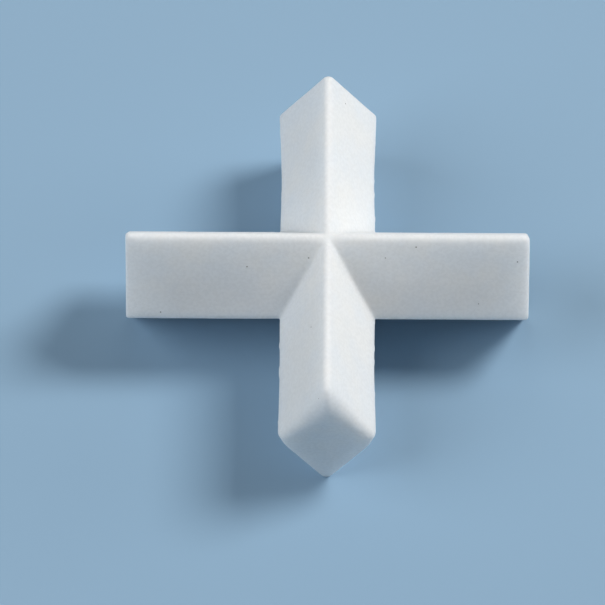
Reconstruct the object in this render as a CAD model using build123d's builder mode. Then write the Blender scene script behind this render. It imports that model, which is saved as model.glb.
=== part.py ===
"""Magnetic stir bar in the form of a cross.

Two bars of rhombus section, with a ridge above and below and an edge at each side, cross at right
angles and are moulded as one PTFE jacket. The longer bar holds a sealed rod magnet. The origin is
on the surface that the cross stands on, under the crossing of its two lower ridges.
X runs along the bar with the magnet, Y along the plain bar and Z is up. Sizes are in millimetres.
"""

import os
from math import acos, atan2, cos, hypot, sin

from build123d import *

# Both bars
HEIGHT = 8.0  # from the lower ridge to the upper ridge
RIDGE_RADIUS = 0.3  # round along the upper and lower ridges
SIDE_RADIUS = 0.25  # round along the side edges, at mid height
END_RADIUS = 0.2  # round about each flat end, under the radius of the edges that it meets
VALLEY_WEB = 0.15  # leg of the small web that fills the valleys between the bars

# The bar that holds the magnet
BAR_LENGTH = 20.0
BAR_WIDTH = 4.9
END_WALL = 1.98  # PTFE between the magnet and the end of the bar

# The plain bar, which shrank more in the mould and is a little waisted
CROSS_LENGTH = 18.6
CROSS_END_WIDTH = 4.84
CROSS_WAIST_WIDTH = 4.64
CROSS_ROOT_WIDTH = 4.74
CROSS_WAIST_PLACE = 5.1  # from the crossing to the narrowest section

# The magnet
MAGNET_DIAMETER = 3.0
MAGNET_CHAMFER = 0.2
MAGNET_CLEARANCE = 0.02  # all round the magnet in its pocket

MID_HEIGHT = HEIGHT / 2
MAGNET_LENGTH = BAR_LENGTH - 2 * (END_WALL + MAGNET_CLEARANCE)


def across_bar(x):
    """Plane across the magnet's bar at x, with its own Y axis upwards."""
    return Plane((x, 0, MID_HEIGHT), x_dir=(0, 1, 0), z_dir=(1, 0, 0))


def across_cross(y):
    """Plane across the plain bar at y, with its own Y axis upwards."""
    return Plane((0, y, MID_HEIGHT), x_dir=(1, 0, 0), z_dir=(0, -1, 0))


def bar_section(plane, width):
    """Rhombus with rounded corners: a band drawn tight round four circles."""
    with BuildSketch(plane) as section:
        with Locations((0, MID_HEIGHT - RIDGE_RADIUS), (0, RIDGE_RADIUS - MID_HEIGHT)):
            Circle(RIDGE_RADIUS)
        with Locations((width / 2 - SIDE_RADIUS, 0), (SIDE_RADIUS - width / 2, 0)):
            Circle(SIDE_RADIUS)
        make_hull()
    return section.sketch


def flank_tilt(width):
    """Angle by which the flat flank of a bar of this width faces upwards."""
    side = width / 2 - SIDE_RADIUS
    ridge = MID_HEIGHT - RIDGE_RADIUS
    return acos((RIDGE_RADIUS - SIDE_RADIUS) / hypot(side, ridge)) - atan2(ridge, side)


def flank_reach(width, rise):
    """Distance from a bar's middle plane to its flank, at a rise above mid height."""
    tilt = flank_tilt(width)
    return width / 2 - SIDE_RADIUS + (SIDE_RADIUS - rise * sin(tilt)) / cos(tilt)


def web_section(rise):
    """Square set cornerwise on the bars, which crosses each valley between them."""
    reach = flank_reach(BAR_WIDTH, abs(rise)) + flank_reach(CROSS_ROOT_WIDTH, abs(rise)) + VALLEY_WEB
    with BuildSketch(Plane.XY.offset(MID_HEIGHT + rise)) as section:
        Rectangle(reach * 2**0.5, reach * 2**0.5, rotation=45)
    return section.sketch


def chamfered_rod(diameter, length, bevel):
    """Rod along the magnet's bar, with a chamfer on each end."""
    with BuildPart() as rod:
        with BuildSketch(across_bar(0)):
            Circle(diameter / 2)
        extrude(amount=length / 2, both=True)
        chamfer(rod.edges().filter_by(GeomType.CIRCLE), length=bevel)
    return rod.part


bar_sections = [bar_section(across_bar(x), BAR_WIDTH) for x in (-BAR_LENGTH / 2, BAR_LENGTH / 2)]

cross_widths = [
    (-CROSS_LENGTH / 2, CROSS_END_WIDTH),
    (-CROSS_WAIST_PLACE, CROSS_WAIST_WIDTH),
    (0, CROSS_ROOT_WIDTH),
    (CROSS_WAIST_PLACE, CROSS_WAIST_WIDTH),
    (CROSS_LENGTH / 2, CROSS_END_WIDTH),
]
cross_sections = [bar_section(across_cross(y), width) for y, width in cross_widths]

# The web stops where the flanks run into the round of the ridges
web_rise = MID_HEIGHT - RIDGE_RADIUS * (1 - sin(flank_tilt(CROSS_ROOT_WIDTH)))
web_sections = [web_section(rise) for rise in (-web_rise, 0, web_rise)]

magnet_pocket = chamfered_rod(
    MAGNET_DIAMETER + 2 * MAGNET_CLEARANCE,
    MAGNET_LENGTH + 2 * MAGNET_CLEARANCE,
    MAGNET_CHAMFER,
)

with BuildPart() as ptfe_jacket:
    loft(bar_sections)
    loft(cross_sections)
    ends = ptfe_jacket.faces().filter_by(Axis.X) + ptfe_jacket.faces().filter_by(Axis.Y)
    fillet(ends.edges(), radius=END_RADIUS)
    loft(web_sections, ruled=True)
    add(magnet_pocket, mode=Mode.SUBTRACT)
ptfe_jacket.part.label = "ptfe_jacket"

with BuildPart() as rod_magnet:
    add(chamfered_rod(MAGNET_DIAMETER, MAGNET_LENGTH, MAGNET_CHAMFER))
rod_magnet.part.label = "rod_magnet"

os.makedirs("parts", exist_ok=True)
export_step(ptfe_jacket.part, "parts/ptfe_jacket.step")
export_step(rod_magnet.part, "parts/rod_magnet.step")
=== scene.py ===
"""Studio scene of a cross-shaped magnetic stir bar.

The cross is one PTFE jacket, sintered round a rod magnet that lies sealed in its longer bar.
X runs along the bar with the magnet, Y along the plain bar and Z is up. The jacket's sizes are in
millimetres, and its mesh is brought to metres near the end. Other lengths are in metres, apart from
the camera's sensor, which is in millimetres. Angles are in degrees.
"""

import logging
from collections.abc import Callable
from dataclasses import dataclass
from enum import Enum
from math import cos, hypot, radians, sin, tau
from typing import Any

import bmesh
import bpy
from mathutils import Matrix, Vector, noise


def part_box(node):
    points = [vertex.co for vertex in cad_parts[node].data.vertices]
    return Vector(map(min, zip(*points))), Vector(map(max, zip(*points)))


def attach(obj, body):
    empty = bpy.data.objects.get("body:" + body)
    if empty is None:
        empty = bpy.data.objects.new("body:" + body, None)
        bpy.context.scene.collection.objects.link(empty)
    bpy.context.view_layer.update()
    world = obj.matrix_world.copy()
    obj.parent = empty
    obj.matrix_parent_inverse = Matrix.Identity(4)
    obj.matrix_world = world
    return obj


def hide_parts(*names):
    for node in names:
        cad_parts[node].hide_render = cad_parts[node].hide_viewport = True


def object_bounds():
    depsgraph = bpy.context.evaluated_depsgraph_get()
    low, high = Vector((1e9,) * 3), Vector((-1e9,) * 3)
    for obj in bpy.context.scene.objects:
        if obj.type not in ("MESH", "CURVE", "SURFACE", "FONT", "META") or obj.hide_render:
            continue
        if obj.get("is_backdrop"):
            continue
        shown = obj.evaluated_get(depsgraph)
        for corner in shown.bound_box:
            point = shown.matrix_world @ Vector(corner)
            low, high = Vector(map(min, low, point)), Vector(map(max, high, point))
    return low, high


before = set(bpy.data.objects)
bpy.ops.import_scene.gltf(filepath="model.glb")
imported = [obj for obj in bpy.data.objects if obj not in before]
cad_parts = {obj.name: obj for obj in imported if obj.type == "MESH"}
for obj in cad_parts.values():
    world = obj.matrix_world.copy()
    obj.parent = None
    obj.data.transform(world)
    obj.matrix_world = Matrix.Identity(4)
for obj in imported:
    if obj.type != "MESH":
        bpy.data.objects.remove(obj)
CAD_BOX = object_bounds()

MM = 0.001
CLEARANCE = 0.02  # millimetres between the magnet and its pocket
TOUCH = 1e-4  # millimetres within which two places are the same
log = logging.getLogger("stir_bar")

Number = float | int


# ---------------------------------------------------------------- shader maths


class Signal:
    """A node's output that can be written in a sum, difference or product."""

    def __init__(self, graph: "Graph", socket: bpy.types.NodeSocket | None) -> None:
        """Wrap one output socket of a graph, or none for a node that ends it."""
        self.graph = graph
        self.socket = socket

    def _math(self, operation: str, left: "Signal | Number", right: "Signal | Number") -> "Signal":
        """Add a Math node for one operation."""
        return self.graph.add("ShaderNodeMath", {"operation": operation}, {0: left, 1: right})

    def __add__(self, other: "Signal | Number") -> "Signal":
        """Sum."""
        return self._math("ADD", self, other)

    __radd__ = __add__

    def __sub__(self, other: "Signal | Number") -> "Signal":
        """Difference."""
        return self._math("SUBTRACT", self, other)

    def __mul__(self, other: "Signal | Number") -> "Signal":
        """Product."""
        return self._math("MULTIPLY", self, other)

    __rmul__ = __mul__

    def ramp(self, low: float, high: float) -> "Signal":
        """Smooth step from 0 at low to 1 at high, or downwards where low is the larger."""
        ends = {"From Min": low, "From Max": high}
        return self.graph.add(
            "ShaderNodeMapRange", {"interpolation_type": "SMOOTHSTEP"}, {"Value": self, **ends}
        )


class Graph:
    """A material's node tree, with one method that makes any node."""

    def __init__(self, name: str) -> None:
        """Start a material with an empty tree.

        Args:
            name: the material's name.
        """
        self.material = bpy.data.materials.new(name)
        self.material.use_nodes = True
        self.tree = self.material.node_tree
        self.tree.nodes.clear()

    def add(
        self,
        kind: str,
        settings: dict[str, Any] | None = None,
        inputs: dict[str | int, Any] | None = None,
        output: str | int = 0,
    ) -> Signal:
        """Make a node.

        Args:
            kind: the node's type name.
            settings: properties of the node, set before its sockets.
            inputs: a number, colour, vector or Signal for each named or numbered socket.
            output: the output socket that is wanted.

        Returns:
            The wanted output as a Signal.
        """
        node = self.tree.nodes.new(kind)
        for key, value in (settings or {}).items():
            setattr(node, key, value)
        for key, value in (inputs or {}).items():
            if isinstance(value, Signal):
                self.tree.links.new(value.socket, node.inputs[key])
            else:
                node.inputs[key].default_value = value
        return Signal(self, node.outputs[output] if node.outputs else None)

    def place(self, scale: Vector | tuple[float, float, float] = (1, 1, 1)) -> Signal:
        """Object coordinates, stretched by a scale along each axis."""
        here = self.add("ShaderNodeTexCoord", output="Object")
        return self.add("ShaderNodeMapping", None, {"Vector": here, "Scale": Vector(scale)})

    def grain(self, size: float, detail: float, place: Signal | None = None) -> Signal:
        """Noise from 0 to 1 whose blotches are about one size across."""
        values = {"Vector": place or self.place(), "Scale": 1 / size, "Detail": detail}
        return self.add("ShaderNodeTexNoise", None, values)

    def mix(self, share: Signal | float, first: Any, second: Any) -> Signal:
        """Blend two colours by a share of the second."""
        settings = {"data_type": "RGBA", "clamp_factor": True}
        return self.add("ShaderNodeMix", settings, {0: share, 6: first, 7: second}, output=2)

    def bump(self, height: Signal, depth: float, strength: float) -> Signal:
        """Normal of a surface raised by a height signal times a depth in metres."""
        values = {"Height": height, "Distance": depth, "Strength": strength}
        return self.add("ShaderNodeBump", None, values, output="Normal")

    def finish(
        self, surface: dict[str | int, Any], settings: dict[str, Any] | None = None
    ) -> bpy.types.Material:
        """Close the tree with a Principled shader.

        Args:
            surface: a value or a Signal for each of the shader's sockets.
            settings: properties of the shader.

        Returns:
            The finished material.
        """
        shader = self.add("ShaderNodeBsdfPrincipled", settings, surface)
        self.add("ShaderNodeOutputMaterial", None, {"Surface": shader})
        return self.material


def rgba(red: float, green: float, blue: float) -> tuple[float, float, float, float]:
    """Opaque linear colour."""
    return (red, green, blue, 1.0)


@dataclass(frozen=True)
class SinteredPtfe:
    """White PTFE: waxy, faintly mottled, and lit from inside near its edges."""

    warm: tuple[float, float, float] = (0.93, 0.925, 0.91)
    cool: tuple[float, float, float] = (0.885, 0.905, 0.925)
    speck: tuple[float, float, float] = (0.16, 0.13, 0.12)
    mottle_size: float = 2.6 * MM
    grain_size: float = 0.16 * MM
    speck_radius: float = 0.05 * MM
    speck_spacing: float = 1.35 * MM
    speck_strength: float = 0.85
    light_path: float = 1.1 * MM
    powder_shade: float = 0.05
    skin_size: float = 0.9 * MM
    bump_depth: float = 0.012 * MM
    bump_strength: float = 0.8

    def material(self) -> bpy.types.Material:
        """Build the finish.

        Returns:
            Its material.
        """
        graph = Graph("sintered_ptfe")
        mottle = graph.grain(self.mottle_size, 3.0)
        powder = graph.grain(self.grain_size, 3.0)
        clean = graph.mix(mottle.ramp(0.3, 0.7), rgba(*self.warm), rgba(*self.cool))
        dusty = graph.mix(self.powder_shade, clean, rgba(0.0, 0.0, 0.0))
        body = graph.mix(powder.ramp(0.35, 0.65), dusty, clean)
        spacing = {"Vector": graph.place(), "Scale": 1 / self.speck_spacing}
        distance = graph.add("ShaderNodeTexVoronoi", None, spacing, output="Distance")
        radius = self.speck_radius / self.speck_spacing
        speck = distance.ramp(radius, radius * 0.5)
        colour = graph.mix(speck * self.speck_strength, body, rgba(*self.speck))
        skin = graph.grain(self.skin_size, 2.0) * 0.6 + powder * 0.4
        return graph.finish(
            {
                "Base Color": colour,
                "Roughness": 0.46 + 0.16 * powder + 0.08 * mottle,
                "IOR": 1.36,
                "Specular IOR Level": 0.35,
                "Subsurface Weight": 1.0,
                "Subsurface Radius": Vector((1.0, 0.98, 0.95)),
                "Subsurface Scale": self.light_path,
                "Normal": graph.bump(skin, self.bump_depth, self.bump_strength),
            },
            {"subsurface_method": "RANDOM_WALK"},
        )


@dataclass(frozen=True)
class GroundAlloy:
    """Cast magnet alloy, dark grey, with fine rings left by grinding round the rod."""

    bright: tuple[float, float, float] = (0.42, 0.41, 0.39)
    dull: tuple[float, float, float] = (0.2, 0.19, 0.185)
    pitted: tuple[float, float, float] = (0.08, 0.07, 0.065)
    ring_pitch: float = 0.05 * MM
    crystal_size: float = 0.5 * MM
    pit_size: float = 0.25 * MM
    bump_depth: float = 0.01 * MM
    bump_strength: float = 0.7

    def material(self) -> bpy.types.Material:
        """Build the finish.

        Returns:
            Its material.
        """
        graph = Graph("ground_magnet_alloy")
        rings = graph.grain(self.ring_pitch, 4.0, graph.place((1, 0.03, 0.03)))
        crystals = graph.grain(self.crystal_size, 4.0)
        pits = graph.grain(self.pit_size, 3.0).ramp(0.36, 0.3)
        metal = graph.mix(0.65 * rings + 0.35 * crystals, rgba(*self.dull), rgba(*self.bright))
        return graph.finish(
            {
                "Base Color": graph.mix(pits * 0.7, metal, rgba(*self.pitted)),
                "Metallic": 1.0,
                "Roughness": 0.32 + 0.2 * rings + 0.25 * pits,
                "Normal": graph.bump(rings - pits, self.bump_depth, self.bump_strength),
            }
        )


@dataclass(frozen=True)
class PaleBacking:
    """Matt pale blue board that the cross stands on."""

    colour: tuple[float, float, float] = (0.3, 0.45, 0.6)
    deeper: tuple[float, float, float] = (0.28, 0.43, 0.585)
    cloud_size: float = 60 * MM

    def material(self) -> bpy.types.Material:
        """Build the finish.

        Returns:
            Its material.
        """
        graph = Graph("pale_backing")
        cloud = graph.grain(self.cloud_size, 2.0)
        return graph.finish(
            {
                "Base Color": graph.mix(cloud, rgba(*self.colour), rgba(*self.deeper)),
                "Roughness": 0.85,
                "Specular IOR Level": 0.2,
            }
        )


# ---------------------------------------------------------------- the jacket


class Arm(Enum):
    """The four arms of the cross, by the way they point."""

    RIGHT = 0
    FAR = 1
    LEFT = 2
    NEAR = 3

    @property
    def turn(self) -> Matrix:
        """Rotation that brings the right-hand arm to this one."""
        return Matrix.Rotation(self.value * tau / 4, 4, "Z")

    @property
    def has_magnet(self) -> bool:
        """Whether the arm is half of the bar that holds the magnet."""
        return self in (Arm.RIGHT, Arm.LEFT)


@dataclass(frozen=True)
class EndRound:
    """Radius, in millimetres, with which an arm's flanks roll over into its end face.

    Over the upper half it goes from side to top. Below mid height it goes from side to bottom, and is
    there after one part in drop of the lower half.
    """

    top: float
    side: float
    bottom: float = 0.12
    drop: float = 6.0

    def at(self, level: float) -> float:
        """Radius at a level of the end.

        Args:
            level: from -1 at the lower ridge to 1 at the upper ridge.

        Returns:
            The radius there.
        """
        if level > 0:
            return self.side + (self.top - self.side) * smooth(level)
        return self.side + (self.bottom - self.side) * smooth(-level * self.drop)


@dataclass
class Jacket:
    """The moulded PTFE cross, in millimetres until it is fitted to the frame.

    Each of valley_passes is a valley's side in X, its side in Y and its rounds of smoothing.
    """

    length: float
    cross_length: float
    height: float
    magnet_radius: float
    magnet_half: float
    width: float = 4.88
    root_width: float = 4.73
    far_waist: float = 4.62
    near_waist: float = 4.69
    cross_end_width: float = 4.84
    waist_place: float = 5.1
    ridge_radius: float = 0.3
    side_radius: float = 0.22
    ridge_cells: int = 8
    side_cells: int = 6
    shortest_flat: float = 1.0
    flank_cells: int = 9
    long_cuts: int = 17
    end_steps: tuple[float, ...] = (0.09, 0.1, 0.12, 0.16, 0.22, 0.3)
    root_steps: tuple[float, ...] = (0.42, 0.24, 0.12, 0.06, 0.0)
    cap_scales: tuple[float, ...] = (0.955, 0.94, 0.93, 0.91, 0.88, 0.82, 0.72, 0.6)
    rounds: tuple[EndRound, ...] = (
        EndRound(0.28, 0.16), EndRound(0.24, 0.2), EndRound(0.14, 0.12), EndRound(1.05, 0.46),
    )
    dish: float = 0.07
    weld: float = 0.004
    valley_passes: tuple[tuple[int, int, int], ...] = ((1, 1, 8), (-1, 1, 8), (-1, -1, 14), (1, -1, 5))
    valley_reach: float = 0.36
    valley_overlap: float = 0.2
    ripple: float = 0.018
    slow_wave: float = 0.3
    quick_wave: float = 1.1
    quick_share: float = 0.25
    flash: float = 0.09
    flash_band: float = 0.09
    flash_wave: float = 2.4
    flash_start: float = 0.18
    side_margin: float = 0.15
    pocket_cells: int = 48
    pocket_chamfer: float = 0.2
    seed: Vector = Vector((3.7, 8.1, 5.3))

    @classmethod
    def from_frame(cls) -> "Jacket":
        """Take the sizes that the CAD solids give.

        Returns:
            A jacket as long, as wide and as high as theirs, with room for their magnet.
        """
        low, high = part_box("ptfe_jacket")
        rod_low, rod_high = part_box("rod_magnet")
        size, rod = (high - low) / MM, (rod_high - rod_low) / MM
        return cls(size[0], size[1], size[2], rod[1] / 2 + CLEARANCE, rod[0] / 2 + CLEARANCE)

    def section(self) -> bmesh.types.BMesh:
        """Draw a bar's section.

        Returns:
            A closed ring in the YZ plane: a rhombus with its four corners rounded.
        """
        bm = bmesh.new()
        bmesh.ops.create_circle(bm, cap_ends=True, radius=1.0, segments=4)
        bmesh.ops.scale(bm, vec=(self.width / 2, self.height / 2, 1), verts=bm.verts)
        half_angle = Vector((self.width, self.height)).angle(Vector((0, 1)))
        corners_wanted = (
            (True, self.ridge_radius, self.ridge_cells), (False, self.side_radius, self.side_cells),
        )
        for upright, radius, segments in corners_wanted:
            corner = half_angle if upright else tau / 4 - half_angle
            grown = 1 / sin(corner) - 1
            corners = [v for v in bm.verts if self._is_corner(v, upright)]
            for v in corners:
                v.co += v.co.normalized() * radius * grown
            tangent = radius * cos(corner) / sin(corner)
            bmesh.ops.bevel(
                bm, geom=corners, offset=tangent, offset_type="OFFSET", segments=segments,
                profile=0.5, affect="VERTICES", material=-1, clamp_overlap=True,
            )
        bmesh.ops.delete(bm, geom=list(bm.faces), context="FACES_ONLY")
        flats = [e for e in bm.edges if e.calc_length() > self.shortest_flat]
        bmesh.ops.subdivide_edges(bm, edges=flats, cuts=self.flank_cells - 1)
        upright = Matrix(((0, 0, 1, 0), (1, 0, 0, 0), (0, 1, 0, 0), (0, 0, 0, 1)))
        bmesh.ops.transform(bm, matrix=upright, verts=bm.verts)
        return bm

    def _is_corner(self, v: bmesh.types.BMVert, upright: bool) -> bool:
        """Whether a vertex is a top or bottom corner, or else a side corner, of the rhombus."""
        return abs(v.co.x if upright else v.co.y) < TOUCH

    def arm(self, arm: Arm) -> bmesh.types.BMesh:
        """Draw a section out into an arm.

        Args:
            arm: which arm it is.

        Returns:
            The arm from its closed end to the valleys where it meets its neighbours, open there.
        """
        bm = self.section()
        ratio = self.root_width / self.width
        end = (self.length if arm.has_magnet else self.cross_length) / 2
        reach = ratio if arm.has_magnet else 1 / ratio
        if not arm.has_magnet:
            bmesh.ops.scale(bm, vec=(1, ratio, 1), verts=bm.verts)
        bmesh.ops.translate(bm, vec=(end, 0, 0), verts=bm.verts)
        ring = list(bm.edges)
        for step in self.end_steps:
            ring = self._extrude(bm, ring, lambda co, by=step: co - Vector((by, 0, 0)))
        for number, rest in enumerate(self.root_steps):
            old = set(bm.edges)
            ring = self._extrude(bm, ring, lambda co, r=rest: Vector((reach * abs(co.y) + r, co.y, co.z)))
            if number == 0:
                long = [e for e in bm.edges if e not in old and e not in set(ring)]
                bmesh.ops.subdivide_edges(bm, edges=long, cuts=self.long_cuts)
        shares = self._cap(bm, end)
        self._roll(bm, end, shares, arm)
        bmesh.ops.transform(bm, matrix=arm.turn, verts=bm.verts)
        return bm

    def _extrude(
        self,
        bm: bmesh.types.BMesh,
        ring: list[bmesh.types.BMEdge],
        place: Callable[[Vector], Vector],
    ) -> list[bmesh.types.BMEdge]:
        """Extrude a ring of edges.

        Args:
            bm: the mesh that holds the ring.
            ring: its edges.
            place: where each new vertex goes, from where it was.

        Returns:
            The new ring's edges.
        """
        made = bmesh.ops.extrude_edge_only(bm, edges=ring)["geom"]
        for v in (g for g in made if isinstance(g, bmesh.types.BMVert)):
            v.co = place(v.co)
        return [g for g in made if isinstance(g, bmesh.types.BMEdge)]

    def _cap(self, bm: bmesh.types.BMesh, end: float) -> dict[bmesh.types.BMVert, float]:
        """Close the end with rings that draw in to its middle.

        Args:
            bm: the open arm.
            end: distance of its end ring from the crossing.

        Returns:
            The size of the ring that holds each new vertex, as a share of the end ring's.
        """
        rim = [e for e in bm.edges if all(abs(v.co.x - end) < TOUCH for v in e.verts)]
        face = bmesh.ops.contextual_create(bm, geom=rim)["faces"][0]
        shares, share = {}, 1.0
        for scale in self.cap_scales:
            bmesh.ops.inset_individual(bm, faces=[face], thickness=0.0)
            share *= scale
            bmesh.ops.scale(
                bm, vec=(1, scale, scale), space=Matrix.Translation((-end, 0, 0)), verts=face.verts
            )
            shares.update((v, share) for v in face.verts)
        return shares

    def _roll(
        self, bm: bmesh.types.BMesh, end: float, shares: dict[bmesh.types.BMVert, float], arm: Arm
    ) -> None:
        """Roll the flanks over into the end face, each half way round, and sink its middle.

        Args:
            bm: the arm, pointing to the right.
            end: distance of its end face from the crossing.
            shares: the size of each of the face's rings, by its vertices.
            arm: which arm it is.
        """
        rise, half = self.height / 2, (self.width if arm.has_magnet else self.root_width) / 2
        flank = half * rise / hypot(half, rise)
        for v in bm.verts:
            share = shares.get(v, 1.0)
            radius = self.rounds[arm.value].at(v.co.z / share / rise)
            inward, depth = (1 - share) * flank, end - v.co.x
            reach = max(inward, depth)
            if reach < radius:
                angle = tau / 8 * (1 - reach / radius)
                along, across = radius * (1 - sin(angle)), radius * (1 - cos(angle))
                inward, depth = (along, across) if v in shares else (across, along)
            factor = (1 - inward / flank) / share
            sunk = self.dish * (1 - share) ** 2
            v.co = Vector((end - depth - sunk, v.co.y * factor, v.co.z * factor))

    def join(self) -> bmesh.types.BMesh:
        """Put the four arms together.

        Returns:
            One closed mesh, centred on the crossing.
        """
        whole = bmesh.new()
        for arm in Arm:
            part = self.arm(arm)
            self._append(whole, part)
        bmesh.ops.remove_doubles(whole, verts=whole.verts, dist=self.weld)
        bmesh.ops.recalc_face_normals(whole, faces=whole.faces)
        return whole

    def _append(self, whole: bmesh.types.BMesh, part: bmesh.types.BMesh) -> None:
        """Add one mesh to another.

        Args:
            whole: the mesh that grows.
            part: the mesh that it takes in, which is freed.
        """
        mesh = bpy.data.meshes.new("part")
        part.to_mesh(mesh)
        part.free()
        whole.from_mesh(mesh)
        bpy.data.meshes.remove(mesh)

    def soften(self, bm: bmesh.types.BMesh) -> None:
        """Fill each valley as much as on the real cross.

        Args:
            bm: the joined arms.
        """
        for side_x, side_y, passes in self.valley_passes:
            zone = [
                v for v in bm.verts
                if min(v.co.x * side_x, v.co.y * side_y) >= -self.valley_overlap
                and self._from_valley(v) < self.valley_reach
            ]
            self._smooth(bm, zone, passes)

    def _smooth(self, bm: bmesh.types.BMesh, zone: list[bmesh.types.BMVert], passes: int) -> None:
        """Relax some vertices towards their neighbours, several times."""
        for _ in range(passes):
            bmesh.ops.smooth_vert(
                bm, verts=zone, factor=0.5, use_axis_x=True, use_axis_y=True, use_axis_z=True
            )

    def _from_valley(self, v: bmesh.types.BMVert) -> float:
        """Distance of a vertex from the nearest valley, along X."""
        return abs(abs(v.co.x) - self.root_width / self.width * abs(v.co.y))

    def shape(self, bm: bmesh.types.BMesh) -> None:
        """Give the plain bar its waist, the skin its slow waves and the side edges their flash.

        Args:
            bm: the closed skin.
        """
        for v in bm.verts:
            far = abs(v.co.y)
            if far > self.root_width / 2:
                v.co.x *= self._waist(far, self.far_waist if v.co.y > 0 else self.near_waist)
        bm.normal_update()
        moves = [(v, v.normal * self._wave(v.co)) for v in bm.verts]
        for v, move in moves:
            v.co += move
        for v in bm.verts:
            band = max(0.0, 1 - abs(v.co.z) / self.flash_band)
            if band > 0 and self._on_side_edge(v.co):
                burr = max(0.0, noise.noise(v.co * self.flash_wave + self.seed) - self.flash_start)
                v.co += v.normal * self.flash * band * burr

    def _on_side_edge(self, co: Vector) -> bool:
        """Whether a point is by one of the side edges, where the halves of the mould met."""
        edge = max(self.far_waist, self.near_waist) / 2 - self.side_margin
        return min(abs(co.x), abs(co.y)) > edge

    def _waist(self, far: float, waist: float) -> float:
        """Work out how wide the plain bar is.

        Args:
            far: distance from the crossing.
            waist: width at the arm's narrowest place.

        Returns:
            The width there, as a share of the width at the root.
        """
        start, end = self.root_width / 2, self.cross_length / 2
        if far < self.waist_place:
            share = (far - start) / (self.waist_place - start)
            width = self.root_width + (waist - self.root_width) * smooth(share)
        else:
            share = (far - self.waist_place) / (end - self.waist_place)
            width = waist + (self.cross_end_width - waist) * smooth(share)
        return width / self.root_width

    def _wave(self, co: Vector) -> float:
        """Work out how far the skin stands out.

        Args:
            co: a point on it.

        Returns:
            The distance, which is below 0 where the skin is sunk.
        """
        slow = noise.noise(co * self.slow_wave + self.seed)
        quick = noise.noise(co * self.quick_wave - self.seed)
        return self.ripple * slow + self.ripple * self.quick_share * quick

    def pocket(self) -> bmesh.types.BMesh:
        """Draw the closed pocket round the magnet.

        Returns:
            Its wall, centred on the origin and facing into the pocket.
        """
        bm = bmesh.new()
        bmesh.ops.create_cone(
            bm, cap_ends=True, cap_tris=False, segments=self.pocket_cells, depth=2 * self.magnet_half,
            radius1=self.magnet_radius, radius2=self.magnet_radius,
        )
        rims = [e for e in bm.edges if abs(e.verts[0].co.z - e.verts[1].co.z) < TOUCH]
        bmesh.ops.bevel(
            bm, geom=rims, offset=self.pocket_chamfer, offset_type="OFFSET", segments=1, profile=0.5,
            affect="EDGES", material=-1, clamp_overlap=True,
        )
        bmesh.ops.rotate(bm, matrix=Matrix.Rotation(tau / 4, 3, "Y"), verts=bm.verts)
        bmesh.ops.recalc_face_normals(bm, faces=bm.faces)
        bmesh.ops.reverse_faces(bm, faces=bm.faces)
        return bm

    def fit(self, bm: bmesh.types.BMesh) -> None:
        """Bring the skin to the frame's own box, in metres, standing on the floor.

        Args:
            bm: the skin in millimetres, centred on the crossing.
        """
        low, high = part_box("ptfe_jacket")
        skin_low = Vector([min(v.co[i] for v in bm.verts) for i in range(3)])
        skin_high = Vector([max(v.co[i] for v in bm.verts) for i in range(3)])
        for v in bm.verts:
            for i in range(3):
                side = (v.co[i] / skin_high[i]) if v.co[i] > 0 else (v.co[i] / skin_low[i])
                middle = (low[i] + high[i]) / 2
                v.co[i] = middle + side * ((high[i] - middle) if v.co[i] > 0 else (low[i] - middle))

    def build(self) -> bpy.types.Object:
        """Make the finished jacket.

        Returns:
            The jacket's object, at the origin, with its place in its mesh.
        """
        bm = self.join()
        self.soften(bm)
        finer = self._refine(bm)
        self.shape(finer)
        self.fit(finer)
        pocket = self.pocket()
        bmesh.ops.scale(pocket, vec=(MM, MM, MM), verts=pocket.verts)
        low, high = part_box("rod_magnet")
        bmesh.ops.translate(pocket, vec=(low + high) / 2, verts=pocket.verts)
        self._append(finer, pocket)
        mesh = bpy.data.meshes.new("jacket")
        finer.to_mesh(mesh)
        finer.free()
        mesh.shade_smooth()
        piece = bpy.data.objects.new("jacket", mesh)
        bpy.context.scene.collection.objects.link(piece)
        return piece

    def _refine(self, bm: bmesh.types.BMesh) -> bmesh.types.BMesh:
        """Divide the skin once by Catmull-Clark.

        Args:
            bm: the coarse skin, which is freed.

        Returns:
            The finer skin, closed as before.
        """
        mesh = bpy.data.meshes.new("coarse_jacket")
        bm.to_mesh(mesh)
        bm.free()
        coarse = bpy.data.objects.new("coarse_jacket", mesh)
        bpy.context.scene.collection.objects.link(coarse)
        step = coarse.modifiers.new("finer", "SUBSURF")
        step.levels = step.render_levels = 1
        dense = bpy.data.meshes.new_from_object(
            coarse.evaluated_get(bpy.context.evaluated_depsgraph_get())
        )
        bpy.data.objects.remove(coarse)
        finer = bmesh.new()
        finer.from_mesh(dense)
        bpy.data.meshes.remove(dense)
        return finer

    def make(self, finish: SinteredPtfe) -> bpy.types.Object:
        """Args:
            finish: what it is made of.

        Returns:
            The jacket's object.
        """
        piece = self.build()
        piece.data.materials.append(finish.material())
        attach(piece, "root")
        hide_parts("ptfe_jacket")
        return piece


def smooth(share: float) -> float:
    """Smooth step of a share from 0 to 1."""
    share = min(1.0, max(0.0, share))
    return share * share * (3 - 2 * share)


@dataclass
class Magnet:
    """The sealed rod, whose CAD shape is kept."""

    node: str = "rod_magnet"

    def make(self, finish: GroundAlloy) -> bpy.types.Object:
        """Dress the rod.

        Args:
            finish: what it is made of.

        Returns:
            The rod's object.
        """
        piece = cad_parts[self.node]
        piece.data.materials.clear()
        piece.data.materials.append(finish.material())
        return piece


# ---------------------------------------------------------------- the studio


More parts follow.
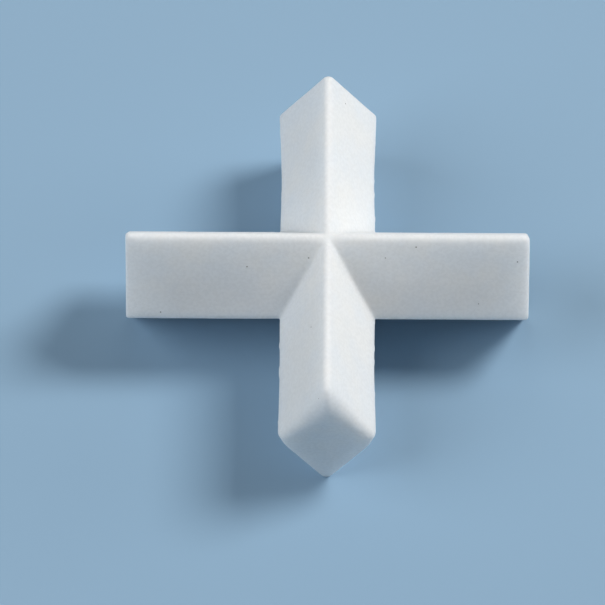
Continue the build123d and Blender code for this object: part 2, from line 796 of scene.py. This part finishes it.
@dataclass
class Lamp:
    """A round soft lamp that looks at the middle of the cross."""

    name: str
    direction: tuple[float, float, float]
    distance: float
    size: float
    power: float
    colour: tuple[float, float, float]

    def make(self, target: Vector) -> None:
        """Hang the lamp.

        Args:
            target: what it looks at.
        """
        data = bpy.data.lights.new(self.name, "AREA")
        data.shape = "DISK"
        data.size = self.size
        data.energy = self.power
        data.color = self.colour
        lamp = bpy.data.objects.new(self.name, data)
        away = Vector(self.direction).normalized()
        lamp.location = target + away * self.distance
        lamp.rotation_euler = away.to_track_quat("Z", "Y").to_euler()
        bpy.context.scene.collection.objects.link(lamp)


@dataclass
class Studio:
    """Floor, lamps and camera."""

    floor_size: float = 1.6
    floor_cells: int = 8
    view_height: float = 61.0
    view_turn: float = 0.33
    view_distance: float = 0.45
    view_width: float = 30.1 * MM
    sensor: float = 36.0
    left_of_middle: float = 1.24 * MM
    below_middle: float = 1.34 * MM
    room: tuple[float, float, float] = (0.86, 0.93, 1.0)
    ambient: float = 0.12
    lamps: tuple[Lamp, ...] = (
        Lamp("key", (0.6, 0.28, 0.78), 0.6, 0.22, 2.5, (1.0, 0.985, 0.955)),
        Lamp("side", (0.9, 0.2, 0.35), 0.6, 0.3, 0.5, (1.0, 0.985, 0.96)),
        Lamp("left", (-0.8, -0.1, 0.75), 0.5, 0.4, 1.2, (0.95, 0.98, 1.0)),
    )

    def floor(self) -> None:
        """Lay the board that the cross stands on."""
        bm = bmesh.new()
        bmesh.ops.create_grid(
            bm, x_segments=self.floor_cells, y_segments=self.floor_cells, size=self.floor_size / 2
        )
        mesh = bpy.data.meshes.new("floor")
        bm.to_mesh(mesh)
        bm.free()
        board = bpy.data.objects.new("floor", mesh)
        board.data.materials.append(PaleBacking().material())
        bpy.context.scene.collection.objects.link(board)
        board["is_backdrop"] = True

    def world(self) -> None:
        """Fill the room with even light."""
        world = bpy.data.worlds.new("studio")
        world.use_nodes = True
        background = world.node_tree.nodes["Background"]
        background.inputs["Color"].default_value = rgba(*self.room)
        background.inputs["Strength"].default_value = self.ambient
        bpy.context.scene.world = world

    def camera(self, middle: Vector) -> None:
        """Place the camera and make it the scene's.

        Args:
            middle: the middle of the cross.
        """
        data = bpy.data.cameras.new("camera")
        data.sensor_width = self.sensor
        data.lens = self.sensor * self.view_distance / self.view_width
        data.clip_start, data.clip_end = 0.01, 10.0
        camera = bpy.data.objects.new("camera", data)
        turn, rise = radians(self.view_turn), radians(self.view_height)
        away = Vector((sin(turn) * cos(rise), -cos(turn) * cos(rise), sin(rise)))
        rotation = away.to_track_quat("Z", "Y")
        right, up = rotation @ Vector((1, 0, 0)), rotation @ Vector((0, 1, 0))
        aim = middle - right * self.left_of_middle - up * self.below_middle
        camera.location = aim + away * self.view_distance
        camera.rotation_euler = rotation.to_euler()
        bpy.context.scene.collection.objects.link(camera)
        bpy.context.scene.camera = camera

    def make(self) -> None:
        """Set up everything round the cross."""
        middle = (CAD_BOX[0] + CAD_BOX[1]) / 2
        self.camera(middle)
        self.floor()
        self.world()
        for lamp in self.lamps:
            lamp.make(middle)
        bpy.context.scene.view_settings.view_transform = "Standard"


def write_sizes() -> None:
    """Work out the CAD model's box and the visual model's box."""
    boxes = {"cad": CAD_BOX, "visual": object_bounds()}
    {name: [list(low), list(high)] for name, (low, high) in boxes.items()}


def main() -> None:
    """Build the studio and the cross."""
    logging.basicConfig(level=logging.INFO)
    Studio().make()
    log.info("studio ready")
    jacket = Jacket.from_frame().make(SinteredPtfe())
    log.info("%s: %d faces", jacket.name, len(jacket.data.polygons))
    magnet = Magnet().make(GroundAlloy())
    log.info("%s dressed", magnet.name)
    write_sizes()


if __name__ == "__main__":
    main()
